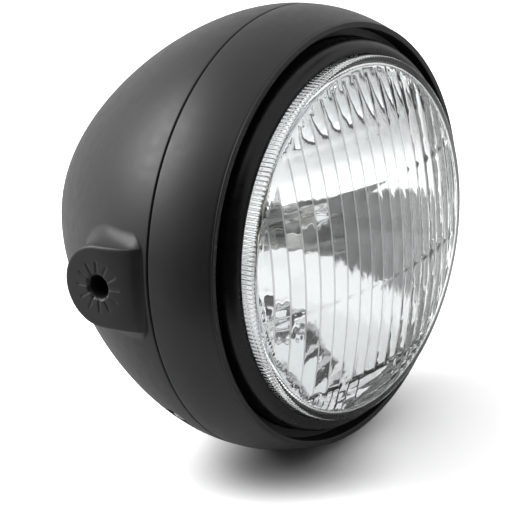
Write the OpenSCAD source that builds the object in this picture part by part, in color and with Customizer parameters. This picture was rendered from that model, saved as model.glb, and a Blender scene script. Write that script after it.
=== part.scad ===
// Side-mounted round motorcycle headlight with a moulded shell, a push-on trim ring
// and a glass lens bonded to a bulb reflector. The lamp looks along -Y and stands up along +Z.
// The origin is the centre of the box round the whole lamp, on the optical axis.
// Profiles are drawn as [radius, forward], forward being counted from the seam plane.

/* [Shell] */
// Largest radius of the lamp, at the seam between shell and trim ring
seam_radius = 85; // [78:0.5:95]
// Depth of the shell behind the seam
shell_depth = 103; // [98:1:120]
// Length of the nearly straight shoulder of the shell
shell_shoulder = 42; // [36:1:50]
// Roundness of the rear tip of the shell
tip_roundness = 30; // [16:1:36]
// Wall of the moulded shell
shell_wall = 2.5; // [2:0.1:3.2]
// Open gap that shows as the dark line between shell and trim ring
seam_gap = 0.8; // [0.4:0.1:1.4]
// Bevel on both edges of the seam
seam_bevel = 0.4; // [0.2:0.1:0.6]
// Length of the spigot that enters the trim ring
spigot_length = 7; // [5:0.5:9]
// Wall of the spigot
spigot_wall = 2; // [1.6:0.1:2.4]

/* [Side mounts] */
// How far each bolt face stands out beyond the seam radius
boss_proud = 3.8; // [3:0.2:12]
// Radius of the flat bolt face
boss_face_radius = 15.5; // [13:0.5:18]
// Radius of the rounded edge of the bolt face
boss_edge = 1.4; // [0.8:0.1:2.4]
// Radius of the flared root of the boss inside the shell
boss_root_radius = 23; // [20:0.5:25]
// Length of the slope from the bolt face down to the seam
boss_slope = 5.2; // [4:0.2:7]
// Distance of the bolt axis behind the seam
boss_setback = 20.2; // [19:0.2:24]
// Radius of the bolt hole, for an M8 bolt
bolt_hole_radius = 4.2; // [4.1:0.05:4.5]
// Width across flats of the captive nut
bolt_nut_flats = 13; // [12:0.5:14]
// Thickness of the captive nut
bolt_nut_height = 6.5; // [5.5:0.5:7]
// Number of radial teeth marks round the bolt hole
serration_count = 12; // [8:1:18]
// Outer radius of the teeth marks
serration_radius = 9.6; // [8:0.2:12]
// Depth of the teeth marks
serration_depth = 0.5; // [0.3:0.1:0.8]

/* [Trim ring] */
// Distance from the seam to the front edge of the band
band_length = 24.1; // [22:0.1:27]
// How much the radius falls from the seam to the front edge
band_taper = 4.9; // [4:0.1:6]
// How much the band bulges at its middle
band_bulge = 1.35; // [0.8:0.05:2]
// Wall of the ring at the seam
skirt_wall = 2.8; // [2.5:0.1:3.2]
// Width of the front-facing lip
lip_width = 2.4; // [1.8:0.1:2.8]
// Depth of the shadow groove behind the lip
groove_depth = 6; // [4.5:0.1:7]
// Thickness of the floor of the groove
groove_floor = 3.5; // [3:0.1:4.2]

/* [Inner bezel] */
// Width of the shadow groove between the lip and the bezel
groove_width = 3.6; // [3:0.1:4.4]
// Width of the bezel nose, from the groove to the glass
bezel_face = 5.8; // [5.4:0.1:7]
// Height of the bezel nose above the front edge of the band
bezel_rise = 5; // [3.5:0.1:6]
// Wall of the bezel nose
bezel_wall = 2; // [1.8:0.1:2.3]
// Thickness of the bezel flange
bezel_flange = 3; // [2.6:0.1:3.4]

/* [Lens] */
// Forward place of the front edge of the ribbed rim
rim_front = 33.6; // [31.5:0.1:36]
// Height of the dome above the rim
dome_height = 12; // [8:0.5:16]
// Thickness of the pressed glass
glass = 3; // [2.4:0.1:3.6]
// Number of fine ribs round the rim
rib_count = 250; // [90:10:300]
// Depth of the fine ribs
rib_depth = 0.35; // [0.2:0.05:0.5]
// Pitch of the upright flutes
flute_pitch = 6.8; // [5.5:0.1:8.5]
// Depth of the upright flutes
flute_depth = 1.1; // [0.8:0.05:1.4]
// Width of the plain glass between the flutes and the rim
flute_margin = 4.3; // [3.8:0.1:10]

/* [Reflector] */
// Focal length of the parabola
focal_length = 20; // [18.5:0.5:22]
// Sheet thickness of the reflector
reflector_wall = 1; // [0.8:0.1:1.2]
// Radius of the bulb opening
neck_radius = 19.6; // [19.2:0.1:21]
// Distance of the parking lamp below the axis
parking_drop = 39; // [38:0.5:42]
// Radius of the parking lamp hole
parking_hole_radius = 7.5; // [7:0.1:8]

/* [Cable inlet] */
// Radius of the hole through the shell
inlet_hole_radius = 11; // [10:0.5:12.5]
// Radius of the opening in the rubber grommet
grommet_bore_radius = 6; // [4.5:0.5:7]
// Width of the grommet flanges beyond the hole
grommet_flange = 3; // [2.4:0.2:4]

/* [Fasteners] */
// Angle of each trim screw from straight down
trim_screw_angle = 43; // [35:1:52]
// Distance of the trim screws behind the seam
trim_screw_setback = 13; // [12:0.5:16]
// Radius of the trim screws, M4
trim_screw_radius = 2; // [1.8:0.1:2.1]
// Radius of the clamp screws, M3
clamp_screw_radius = 1.5; // [1.4:0.05:1.6]

/* [Hidden] */
$fn = 96;
fit = 0.3;
steps = 30;
front_end = rim_front + dome_height;
seam_y = (front_end - shell_depth) / 2;

// Shell curve and the parts of the seam
shell_start = -(seam_gap / 2 + seam_bevel);
skirt_inner = seam_radius - skirt_wall;
boss_reach = seam_radius + boss_proud;
spigot_outer = skirt_inner - fit;
spigot_inner = spigot_outer - spigot_wall;
shoulder_t = 0.03;
shoulder_back = -3;
seal_thickness = 1;
ledge_back = spigot_length + seal_thickness;
ledge_thickness = 1.5;

// Trim ring stations
band_start = seam_gap / 2;
lip_radius = seam_radius - band_taper;
groove_outer = lip_radius - lip_width;
lip_rise = 0.8;
lip_front = band_length + lip_rise;
bezel_radius = groove_outer - groove_width;
groove_front = lip_front - groove_depth;
flange_back = groove_front - groove_floor;
flange_inner = bezel_radius + fit;
ring_wall = 2;
ring_inner = groove_outer + ring_wall;

// Bezel, lens and reflector stations
bezel_front = band_length + bezel_rise;
bezel_lip = 2.6;
bezel_eye = 0.4;
lens_radius = bezel_radius - bezel_face;
flute_field = lens_radius - flute_margin;
lens_seat = bezel_front - bezel_lip;
bezel_bore = lens_radius + fit;
clamp_inset = 1.8;
clamp_margin = 2.5;
clamp_radius = bezel_radius + clamp_inset;
clamp_flange_radius = clamp_radius + clamp_margin;
lens_flange_radius = bezel_radius - bezel_wall - fit;
lens_flange = 3.5;
lens_back = lens_seat - lens_flange;
sealant_thickness = 0.8;
sealant_width = 6.5;
reflector_front = lens_back - sealant_thickness;
reflector_back = reflector_front - reflector_wall;
mouth_inset = 9;
mouth_radius = lens_flange_radius - mouth_inset;
vertex = reflector_back - mouth_radius * mouth_radius / (4 * focal_length);
rim_round = 1;
flute_proud = 0.25;
zone_lap = 0.2;
dome_edge = lens_radius - rim_round;
dome_ball = (dome_edge * dome_edge + dome_height * dome_height) / (2 * dome_height);
dome_centre = front_end - dome_ball;
inner_ball = dome_ball - glass;
bezel_back = flange_back - bezel_flange;
ring_sheet = 1.2;
ring_back = bezel_back - ring_sheet;
tongue_sheet = 1.2;
tongue_width = 12;
tongue_foot = ring_back - tongue_sheet;
screw_head_height = 2.2;

// Trim screws, seats and nuts, as distances from the optical axis
tongue_outer = clamp_flange_radius - fit;
tongue_inner = tongue_outer - tongue_sheet;
trim_pad_height = 3.4;
trim_seat_wall = 2.4;
trim_seat = tongue_outer + trim_seat_wall;
trim_angles = [-90 - trim_screw_angle, -90 + trim_screw_angle];
hook_angle = 90;
tongue_angles = concat(trim_angles, [hook_angle]);
clamp_offset = 10;
clamp_angles = [for (angle = tongue_angles) angle + clamp_offset];
trim_nut_height = 3;
trim_nut_flats = 7;
trim_head_radius = 3.5;
trim_pocket_radius = 4;
trim_pocket_length = 16;
trim_hole_radius = trim_screw_radius + 0.25;

// Side bosses
bolt_seat_wall = 12;
nut_pocket_floor = boss_reach - bolt_seat_wall;
nut_pocket_mouth = nut_pocket_floor - bolt_nut_height;
nut_wall = 5.5;
boss_inside_radius = bolt_nut_flats / 2 + nut_wall;
boss_inside_cover = 2.2;
boss_root_depth = 18.8;
boss_root = boss_reach - boss_root_depth;
boss_lap = 0.05;

// Bulb seat stations behind the reflector neck
neck_front = vertex + neck_radius * neck_radius / (4 * focal_length);
neck_land = 2.2;
neck_back = neck_front - neck_land;
collar_thickness = 2.5;
collar_back = neck_back - collar_thickness;
collar_lug = 2.6;
collar_bore = 19;
base_flange_radius = 21.5;
base_flange = 1.2;
base_back = collar_back - base_flange;
base_skirt = 7;
base_skirt_back = base_back - base_skirt;
base_skirt_radius = 14;
cup_radius = 11;
cup_height = 11;
cup_front = collar_back + cup_height;
glass_tube = 8.6;
bulb_glass_wall = 1;
glass_sink = 6;
bulb_reach = 53;
low_beam_reach = 33;
high_beam_reach = 26;
blade_length = 11;
glass_foot = cup_front - glass_sink;
glass_tip = collar_back + bulb_reach;
low_beam_centre = collar_back + low_beam_reach;
high_beam_centre = collar_back + high_beam_reach;
blade_back = base_skirt_back - blade_length;
blade_width = 8;
blade_sheet = 0.8;
blade_place = 7.5;
clip_wire_radius = 0.7;
clip_ball_radius = clip_wire_radius * 1.08;
clip_screw_radius = 1.5;
collar_margin = 7.5;
collar_radius = base_flange_radius + collar_margin;
clip_screw_margin = 4.7;
clip_screw_place = collar_radius - clip_screw_margin;
catch_margin = 4.4;
catch_place = collar_radius - catch_margin;
catch_width = 7;
catch_sheet = 1.4;
clip_arm = 15.6;
clip_loop = 2.3;
post_radius = 0.45;
post_place = 4;
leg_radius = 0.25;
coil_radius = 0.8;
coil_length = 5.5;
dip_radius = 3.4;
dip_sheet = 0.4;
dip_below = 3.7;
dip_above = 4.3;
dip_back = low_beam_centre - dip_below;
dip_front = low_beam_centre + dip_above;

// Parking lamp stations
parking_surface = vertex + parking_drop * parking_drop / (4 * focal_length);
parking_tube = 12;
parking_tube_back = parking_surface - parking_tube;
parking_tube_wall = 1.2;
parking_rubber = 2;
socket_wall = 1.2;
parking_bulb_reach = 9;
socket_radius = parking_hole_radius - parking_rubber;
parking_bulb_radius = socket_radius - socket_wall;
parking_bulb_tip = parking_surface + parking_bulb_reach;
socket_length = 12;
socket_depth = 6;

// Cable inlet: the place on the shell curve and the slope there
inlet_t = 0.59;
inlet_point = shell_point(inlet_t, 0);
inlet_normal = shell_normal(inlet_t);
inlet_tilt = atan2(-inlet_normal[1], inlet_normal[0]);
inlet_pad_margin = 1.5;
grommet_lip = 2;
inlet_pad_radius = inlet_hole_radius + grommet_flange + inlet_pad_margin;
inlet_pad_rise = 1.2;
inlet_pad_depth = 5.4;
inlet_drop = -90;

function bezier(p, t) =
    pow(1 - t, 3) * p[0] + 3 * pow(1 - t, 2) * t * p[1]
    + 3 * (1 - t) * t * t * p[2] + pow(t, 3) * p[3];

function bezier_slope(p, t) =
    3 * pow(1 - t, 2) * (p[1] - p[0]) + 6 * (1 - t) * t * (p[2] - p[1]) + 3 * t * t * (p[3] - p[2]);

function shell_curve() = [
    [seam_radius, shell_start],
    [seam_radius, -shell_shoulder],
    [tip_roundness, -shell_depth],
    [0, -shell_depth]
];

function shell_normal(t) =
    let (s = bezier_slope(shell_curve(), t))
    [-s[1], s[0]] / norm(s);

function shell_point(t, inset) = bezier(shell_curve(), t) - inset * shell_normal(t);

function inner_shell_point(i) = shell_point(shoulder_t + (1 - shoulder_t) * i / steps, shell_wall);

function band_radius(u) = seam_radius - band_taper * u + 4 * band_bulge * u * (1 - u);

function dish_point(radius, inset) =
    let (slope = radius / (2 * focal_length))
    let (forward = vertex + radius * radius / (4 * focal_length))
    [radius, forward] + inset * [slope, -1] / norm([slope, 1]);

function dome_point(radius, ball) = [radius, dome_centre + sqrt(ball * ball - radius * radius)];

function arc(centre, radius, from, to, n) =
    [for (i = [0:n]) let (a = from + (to - from) * i / n) centre + radius * [cos(a), sin(a)]];

function flute_count() = 2 * floor(flute_field / flute_pitch) + 1;

// Places children on the optical axis: local z looks forward and local y is up
module lamp_axis() {
    translate([0, seam_y, 0]) rotate([90, 0, 0]) children();
}

// A body of revolution about the optical axis
module lathe(profile) {
    lamp_axis() rotate_extrude() polygon(profile);
}

// Children point outward along local z from the optical axis, at an angle from +X
module outward(angle, forward) {
    lamp_axis() rotate([0, 0, angle]) translate([0, 0, forward]) rotate([0, 90, 0]) children();
}

// Children stand on the bolt axis of one side, local z pointing outward
module bolt_axis(side) {
    translate([0, seam_y + boss_setback, 0]) rotate([0, 90 * side, 0]) children();
}

// Children stand on the cable inlet, local z pointing out of the shell
module inlet_axis() {
    lamp_axis() rotate([0, 0, inlet_drop]) translate([inlet_point[0], 0, inlet_point[1]])
        rotate([0, 90 + inlet_tilt, 0]) children();
}

// A slot shape with round ends, long along local y
module pill(length, radius, height) {
    for (side = [-1, 1])
        translate([0, side * (length / 2 - radius), 0]) cylinder(r = radius, h = height);
    translate([-radius, -(length / 2 - radius), 0]) cube([2 * radius, length - 2 * radius, height]);
}

// A hexagon prism by its width across flats
module hexagon(flats, height) {
    cylinder(r = flats / 2 / cos(30), h = height, $fn = 6);
}

// A bent round wire along a flat path. The balls at its corners are a little wider than
// the wire and turned, so that no edge of theirs lies along a straight run.
module wire(path, radius, ball) {
    for (i = [0:len(path) - 2]) {
        run = path[i + 1] - path[i];
        translate(path[i]) rotate([0, 0, atan2(run[1], run[0])]) rotate([0, 90, 0])
            cylinder(r = radius, h = norm(run), $fn = 12);
    }
    for (corner = path) translate(corner) rotate([7, 11, 5]) sphere(r = ball, $fn = 10);
}

// A cross-recess screw: the head sits on z = 0 and the shank hangs below it
module screw(radius, length, head_radius) {
    slot = [head_radius * 1.2, radius * 0.45, screw_head_height];
    difference() {
        union() {
            cylinder(r = head_radius, h = screw_head_height - 0.5);
            translate([0, 0, screw_head_height - 0.5])
                cylinder(r1 = head_radius, r2 = head_radius - 0.8, h = 0.5);
            translate([0, 0, -length]) cylinder(r = radius, h = length);
        }
        for (turn = [0, 90])
            rotate([0, 0, turn]) translate([-slot[0] / 2, -slot[1] / 2, screw_head_height - 1.2])
                cube(slot);
    }
}

module shell_body() {
    outer = [for (i = [0:steps]) shell_point(i / steps, 0)];
    lathe(concat(
        [[spigot_outer, shell_start + seam_bevel], [seam_radius - seam_bevel, shell_start + seam_bevel]],
        outer,
        [for (i = [steps:-1:0]) inner_shell_point(i)],
        [[spigot_inner, shoulder_back], [spigot_inner, spigot_length], [spigot_outer, spigot_length]]
    ));
}

// Half section of the bolt pad: a flank that flares out towards the shell and a rounded edge
function pad_section() =
    let (drop = boss_root_depth - boss_edge, flare = boss_root_radius - boss_face_radius)
    concat(
        [for (i = [0:8]) let (u = 1 - i / 8)
            [boss_face_radius + flare * u * u, boss_reach - boss_edge - drop * u]],
        arc([boss_face_radius - boss_edge, boss_reach - boss_edge], boss_edge, 0, 90, 6)
    );

// Bolt pad: round at the back, with straight sides that run forward to the seam
module side_boss() {
    section = pad_section();
    last = len(section) - 1;
    rotate_extrude(angle = 180) polygon(concat([[0, boss_root]], section, [[0, boss_reach]]));
    rotate([90, 0, 0]) linear_extrude(height = boss_setback) polygon(concat(
        section,
        [for (i = [last:-1:0]) [-section[i][0], section[i][1]]]
    ));
}

// The room inside the shell, as a solid to cut with
module shell_room() {
    lathe(concat(
        [[0, spigot_length + 1], [spigot_inner, spigot_length + 1], [spigot_inner, shoulder_back]],
        [for (i = [0:steps]) inner_shell_point(i)]
    ));
}

// Everything behind the slope that runs from the bolt faces down to the seam
module behind_seam_slope() {
    start = shell_start - seam_bevel;
    reach = 3 * boss_proud;
    lathe([[0, -shell_depth], [seam_radius + reach, -shell_depth],
        [seam_radius + reach, start - boss_slope * reach / boss_proud],
        [seam_radius + boss_lap, start], [0, start]]);
}

// Shallow grooves that bite into the bracket, drawn as square bars turned on edge
module serrations() {
    start = bolt_hole_radius + 0.9;
    for (i = [0:serration_count - 1])
        rotate([0, 0, 360 * i / serration_count])
            translate([start, 0, boss_reach])
                rotate([45, 0, 0])
                    translate([0, -serration_depth * 0.7, -serration_depth * 0.7])
                        cube([serration_radius - start, serration_depth * 1.4, serration_depth * 1.4]);
}

module trim_screw_pad() {
    translate([0, 0, tongue_outer])
        pill(trim_pocket_length + 4, trim_pocket_radius + 2, trim_pad_height);
}

module trim_screw_cut() {
    depth = seam_radius - tongue_outer + 2;
    translate([0, 0, trim_seat]) pill(trim_pocket_length, trim_pocket_radius, depth);
    translate([0, 0, tongue_outer - 1]) cylinder(r = trim_hole_radius, h = depth);
}

module housing() {
    color("#1b1b1d") difference() {
        union() {
            shell_body();
            difference() {
                intersection() {
                    for (side = [-1, 1]) bolt_axis(side) side_boss();
                    behind_seam_slope();
                }
                shell_room();
            }
            for (side = [-1, 1]) bolt_axis(side) translate([0, 0, nut_pocket_mouth])
                cylinder(r = boss_inside_radius, h = seam_radius - boss_inside_cover - nut_pocket_mouth);
            for (angle = trim_angles) outward(angle, -trim_screw_setback) trim_screw_pad();
            inlet_axis() translate([0, 0, -inlet_pad_depth])
                cylinder(r = inlet_pad_radius, h = inlet_pad_depth + inlet_pad_rise);
        }
        for (side = [-1, 1]) bolt_axis(side) {
            translate([0, 0, nut_pocket_mouth - 1]) cylinder(r = bolt_hole_radius, h = boss_reach);
            translate([0, 0, nut_pocket_mouth - 1]) hexagon(bolt_nut_flats + 0.2, bolt_nut_height + 1);
            serrations();
        }
        for (angle = trim_angles) outward(angle, -trim_screw_setback) trim_screw_cut();
        inlet_axis() translate([0, 0, -inlet_pad_depth - 3])
            cylinder(r = inlet_hole_radius, h = inlet_pad_depth + inlet_pad_rise + 6);
    }
}

module trim_ring() {
    edge = 0.7;
    first = band_start + seam_bevel;
    band = [for (i = [0:12]) let (u = i / 12) [band_radius(u), first + (band_length - first) * u]];
    color("#1b1b1d") clamp_drilled(clamp_screw_radius, flange_back - 1, groove_front - 1) lathe(concat(
        [[skirt_inner, band_start], [seam_radius - seam_bevel, band_start]],
        band,
        [[lip_radius - edge * 0.4, band_length + edge * 0.6], [lip_radius - edge, lip_front],
            [groove_outer + edge, lip_front], [groove_outer, lip_front - edge],
            [groove_outer, groove_front], [flange_inner, groove_front], [flange_inner, flange_back],
            [ring_inner, flange_back], [ring_inner, ledge_back + ledge_thickness],
            [clamp_flange_radius + fit, ledge_back + ledge_thickness],
            [clamp_flange_radius + fit, ledge_back], [skirt_inner, ledge_back]]
    ));
}

// Holes for the clamp screws, cut from whatever is given as children
module clamp_drilled(radius, from, to) {
    difference() {
        children();
        for (angle = clamp_angles)
            lamp_axis() rotate([0, 0, angle]) translate([clamp_radius, 0, from])
                cylinder(r = radius, h = to - from);
    }
}

module inner_bezel() {
    rise = bezel_rise + 0.6;
    eye = bezel_bore + bezel_eye;
    nose = [for (i = [0:8]) let (turn = 90 * i / 8)
        [eye + (bezel_radius - eye) * cos(turn), bezel_front - rise * (1 - sin(turn))]];
    cavity = bezel_radius - bezel_wall;
    color("#0d0d0e") clamp_drilled(clamp_screw_radius + 0.2, bezel_back - 1, flange_back + 1) lathe(concat(
        [[cavity, bezel_back], [clamp_flange_radius, bezel_back], [clamp_flange_radius, flange_back],
            [bezel_radius, flange_back]],
        nose,
        [[bezel_bore, bezel_front - 0.4], [bezel_bore, lens_seat], [cavity, lens_seat]]
    ));
}

// Fine upright ribs round the glass: a saw edge with one tooth for each rib
module ribbed_band(height) {
    linear_extrude(height = height) polygon([
        for (i = [0:2 * rib_count - 1])
            let (a = 180 * i / rib_count, r = lens_radius - (i % 2) * rib_depth)
            [r * cos(a), r * sin(a)]
    ]);
}

// Upright half-round ribs on the back of the glass between two heights, tilted to follow the dome
module flute_zone(bottom, top) {
    depth_at = function (z) dome_centre + sqrt(inner_ball * inner_ball - z * z);
    lean = atan2(depth_at(top) - depth_at(bottom), top - bottom);
    middle = (depth_at(top) + depth_at(bottom)) / 2 - flute_proud;
    half = (flute_count() - 1) / 2;
    chord = flute_pitch / 2;
    flute_radius = (chord * chord + flute_depth * flute_depth) / (2 * flute_depth);
    height = top - bottom;
    translate([0, seam_y - middle, (top + bottom) / 2]) rotate([lean, 0, 0]) for (i = [-half:half]) {
        x = i * flute_pitch;
        sink = inner_ball - sqrt(inner_ball * inner_ball - x * x);
        translate([x, sink - flute_radius + flute_depth, -height / 2 - 1])
            cylinder(r = flute_radius, h = height + 2, $fn = 24);
    }
}

// The fluted field is stepped at four heights, where the slope of the flutes changes
module lens_flutes() {
    heights = [-0.72, -0.2, 0.34, 0.63, 0.93] * lens_radius;
    for (k = [0:len(heights) - 2])
        intersection() {
            flute_zone(heights[k], heights[k + 1]);
            translate([-flute_field, seam_y - front_end, heights[k]])
                cube([2 * flute_field, front_end, heights[k + 1] - heights[k] + zone_lap]);
            lathe([[0, dome_centre], [flute_field, dome_centre], [flute_field, front_end], [0, front_end]]);
            lamp_axis() translate([0, 0, dome_centre]) sphere(r = dome_ball - glass / 2);
        }
}

module lens() {
    bore = lens_radius - glass;
    dome = [for (i = [14:-1:0]) dome_point(dome_edge * i / 14, dome_ball)];
    inside = [for (i = [0:14]) dome_point((bore - 2) * i / 14, inner_ball)];
    neck = lens_radius - rib_depth - 0.5;
    rib_start = lens_seat - lens_flange / 2;
    color("#e8eef0", 0.5) union() {
        lathe(concat(
            [[bore, lens_back], [lens_flange_radius, lens_back], [lens_flange_radius, lens_seat],
                [neck, lens_seat], [neck, rim_front - rim_round]],
            dome,
            inside,
            [[bore, rim_front - glass - 1.5]]
        ));
        lamp_axis() translate([0, 0, rib_start]) difference() {
            ribbed_band(rim_front - rim_round - 0.2 - rib_start);
            translate([0, 0, -1]) cylinder(r = neck - 1, h = rim_front);
        }
        lens_flutes();
    }
}

module lens_sealant() {
    inside = lens_flange_radius - sealant_width;
    color("#3a3a3a") lathe([[inside, reflector_front], [lens_flange_radius, reflector_front],
        [lens_flange_radius, lens_back], [inside, lens_back]]);
}

module parking_axis() {
    lamp_axis() translate([0, -parking_drop, 0]) children();
}

module reflector() {
    rings = 18;
    radii = [for (i = [0:rings]) mouth_radius + (neck_radius - mouth_radius) * i / rings];
    inner = [for (i = [0:rings]) dish_point(radii[i], 0)];
    outer = [for (i = [rings:-1:0]) dish_point(radii[i], reflector_wall)];
    tube_room = 10;
    color("#d8dcdf") difference() {
        union() {
            lathe(concat(
                [[lens_flange_radius, reflector_back], [lens_flange_radius, reflector_front],
                    [mouth_radius, reflector_front]],
                inner,
                [[neck_radius, neck_back], [neck_radius + reflector_wall, neck_back]],
                outer,
                [[mouth_radius + 1.5, reflector_back]]
            ));
            difference() {
                parking_axis() translate([0, 0, parking_tube_back])
                    cylinder(r = parking_hole_radius + parking_tube_wall, h = parking_tube + tube_room);
                lathe(concat([[0, reflector_front + 1], [mouth_radius, reflector_front + 1]], inner,
                    [[neck_radius, neck_back], [0, neck_back]]));
            }
        }
        parking_axis() translate([0, 0, parking_tube_back - 1])
            cylinder(r = parking_hole_radius, h = parking_tube + tube_room + 2);
    }
}

module retaining_ring() {
    outer = bezel_radius - bezel_wall - fit;
    color("#8d9195") clamp_drilled(clamp_screw_radius + 0.2, ring_back - 1, bezel_back + 1) lathe([
        [mouth_radius + 2, reflector_back - ring_sheet], [outer - ring_sheet, reflector_back - ring_sheet],
        [outer - ring_sheet, ring_back], [clamp_flange_radius, ring_back],
        [clamp_flange_radius, bezel_back], [outer, bezel_back], [outer, reflector_back],
        [mouth_radius + 2, reflector_back]
    ]);
}

// A bent steel strip: a foot under the clamp screw and a tongue that reaches back into the shell
module tongue(angle, reach) {
    foot_inner = clamp_radius - 3.2;
    foot_outer = tongue_outer - tongue_sheet / 3;
    foot_lap = 4;
    lamp_axis() {
        rotate([0, 0, angle - foot_lap]) rotate_extrude(angle = foot_lap + clamp_offset + 3)
            translate([foot_inner, tongue_foot]) square([foot_outer - foot_inner, tongue_sheet]);
        rotate([0, 0, angle]) translate([tongue_inner, -tongue_width / 2, -reach])
            cube([tongue_sheet, tongue_width, ring_back - tongue_sheet / 4 + reach]);
    }
}

module ring_tongues() {
    hook_back = -shoulder_back + 2.6;
    color("#8d9195") clamp_drilled(clamp_screw_radius + 0.2, tongue_foot - 1, ring_back + 1) difference() {
        union() {
            for (angle = trim_angles) tongue(angle, trim_screw_setback + 6);
            tongue(hook_angle, hook_back);
            lamp_axis() rotate([0, 0, hook_angle]) translate([tongue_inner, -tongue_width / 2, -hook_back])
                cube([spigot_inner + 1.2 - tongue_inner, tongue_width, tongue_sheet]);
        }
        for (angle = trim_angles)
            outward(angle, -trim_screw_setback) translate([0, 0, tongue_inner - 3])
                cylinder(r = trim_screw_radius + 0.1, h = 8);
    }
}

module retaining_screws() {
    color("#a9adb0") for (angle = clamp_angles)
        lamp_axis() rotate([0, 0, angle]) translate([clamp_radius, 0, tongue_foot]) rotate([180, 0, 0])
            screw(clamp_screw_radius, groove_front - 1.2 - tongue_foot, 2.6);
}

// Flat gasket between the end of the spigot and the ledge of the trim ring
module housing_seal() {
    color("#222222") lathe([[spigot_inner, spigot_length], [spigot_outer, spigot_length],
        [spigot_outer, ledge_back], [spigot_inner, ledge_back]]);
}

module trim_screws() {
    color("#a9adb0") for (angle = trim_angles)
        outward(angle, -trim_screw_setback) translate([0, 0, trim_seat])
            screw(trim_screw_radius, trim_seat - tongue_inner + trim_nut_height + 1, trim_head_radius);
}

module trim_nuts() {
    color("#a9adb0") for (angle = trim_angles)
        outward(angle, -trim_screw_setback) translate([0, 0, tongue_inner - trim_nut_height]) difference() {
            hexagon(trim_nut_flats, trim_nut_height);
            translate([0, 0, -1]) cylinder(r = trim_screw_radius, h = trim_nut_height + 2);
        }
}

module mount_nuts() {
    color("#a9adb0") for (side = [-1, 1])
        bolt_axis(side) translate([0, 0, nut_pocket_floor - bolt_nut_height]) difference() {
            hexagon(bolt_nut_flats, bolt_nut_height);
            translate([0, 0, -1]) cylinder(r = bolt_hole_radius - 0.8, h = bolt_nut_height + 2);
        }
}

module cable_grommet() {
    flange = inlet_hole_radius + grommet_flange;
    inside = -inlet_pad_depth - grommet_lip;
    outside = inlet_pad_rise + grommet_lip;
    edge = grommet_lip * 0.35;
    color("#151515") inlet_axis() rotate_extrude() polygon([
        [grommet_bore_radius, inside], [flange - edge, inside], [flange, inside + edge],
        [flange, -inlet_pad_depth], [inlet_hole_radius, -inlet_pad_depth],
        [inlet_hole_radius, inlet_pad_rise], [flange, inlet_pad_rise], [flange, outside - edge],
        [flange - edge, outside], [grommet_bore_radius, outside]
    ]);
}

// Pressed ring on the reflector neck, with the catch and the screw lug of the bulb clip
module bulb_collar() {
    catch_gap = 2 * clip_ball_radius + 0.1;
    color("#b9bdc0") difference() {
        union() {
            lathe([[collar_bore, collar_back], [collar_radius, collar_back], [collar_radius, neck_back],
                [collar_bore, neck_back]]);
            lamp_axis() {
                translate([-clip_screw_place, 0, base_back]) cylinder(r = collar_lug, h = base_flange);
                translate([catch_place, -catch_width / 2, base_back - catch_gap - 1])
                    cube([catch_sheet, catch_width, base_flange + catch_gap + 1]);
                translate([catch_place - 2.6, -catch_width / 2, base_back - catch_gap - 1])
                    cube([catch_sheet + 2.6, catch_width, 1]);
            }
        }
        lamp_axis() translate([-clip_screw_place, 0, base_back - 1])
            cylinder(r = clip_screw_radius, h = neck_back - base_back + 2);
    }
}

module bulb_base() {
    lug_width = 5;
    color("#c4c6c8") {
        lathe([[0, base_skirt_back], [base_skirt_radius, base_skirt_back], [base_skirt_radius, base_back],
            [base_flange_radius, base_back], [base_flange_radius, collar_back], [cup_radius, collar_back],
            [cup_radius, cup_front], [glass_tube, cup_front], [glass_tube, glass_foot], [0, glass_foot]]);
        for (angle = [90, 210, 330])
            lamp_axis() rotate([0, 0, angle]) translate([base_flange_radius - 1, -lug_width / 2, base_back])
                cube([2.6, lug_width, base_flange]);
    }
}

module bulb_glass() {
    tip_centre = glass_tip - glass_tube;
    inside = glass_tube - bulb_glass_wall;
    color("#eef2f4", 0.4) lathe(concat(
        [[0, glass_foot], [glass_tube, glass_foot]],
        arc([0, tip_centre], glass_tube, 0, 90, 10),
        arc([0, tip_centre], inside, 90, 0, 10),
        [[inside, glass_foot + 2], [0, glass_foot + 2]]
    ));
}

module post(x, y, top) {
    foot = glass_foot + 2;
    lamp_axis() translate([x, y, foot]) cylinder(r = post_radius, h = top - foot, $fn = 24);
}

module bulb_supports() {
    low = coil_length / 2 - 0.15 + leg_radius;
    color("#9a9da0") {
        post(-post_place, 0, low_beam_centre - low);
        post(post_place, 0, low_beam_centre + low - 2 * leg_radius);
        post(0, -post_place, high_beam_centre - low);
        post(0, post_place, high_beam_centre + low - 2 * leg_radius);
        post(dip_radius * cos(45), -dip_radius * sin(45), dip_back);
    }
}

// One coiled filament, drawn as a rod, with a leg to each of its two posts
module filament(centre, turn) {
    end = coil_length / 2 - 0.15;
    lamp_axis() rotate([0, 0, turn]) translate([0, 0, centre]) {
        translate([0, 0, -coil_length / 2]) cylinder(r = coil_radius, h = coil_length, $fn = 24);
        for (side = [-1, 1])
            translate([0, 0, side * end]) rotate([0, 90 * side, 0])
                cylinder(r = leg_radius, h = post_place + post_radius, $fn = 24);
    }
}

module bulb_filaments() {
    color("#d9c27a") {
        filament(low_beam_centre, 0);
        filament(high_beam_centre, 90);
    }
}

// Half cup below the low beam filament
module bulb_dip_shield() {
    inside = dip_radius - dip_sheet / 2;
    outside = dip_radius + dip_sheet / 2;
    reach = 2 * outside;
    color("#8f9295") intersection() {
        lathe([[inside, dip_back], [outside, dip_back], [outside, dip_front], [inside, dip_front]]);
        lamp_axis() translate([-reach, -reach - dip_radius / 6, dip_back])
            cube([2 * reach, reach, dip_front - dip_back]);
    }
}

// Children lie at one of the three blades, local y across the thin side
module blade_places() {
    lamp_axis() for (turn = [-90, 0, 90]) rotate([0, 0, turn]) translate([0, blade_place, 0]) children();
}

module bulb_terminals() {
    color("#c9b27c") blade_places() translate([-blade_width / 2, -blade_sheet / 2, blade_back])
        cube([blade_width, blade_sheet, base_skirt_back - blade_back]);
}

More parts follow.
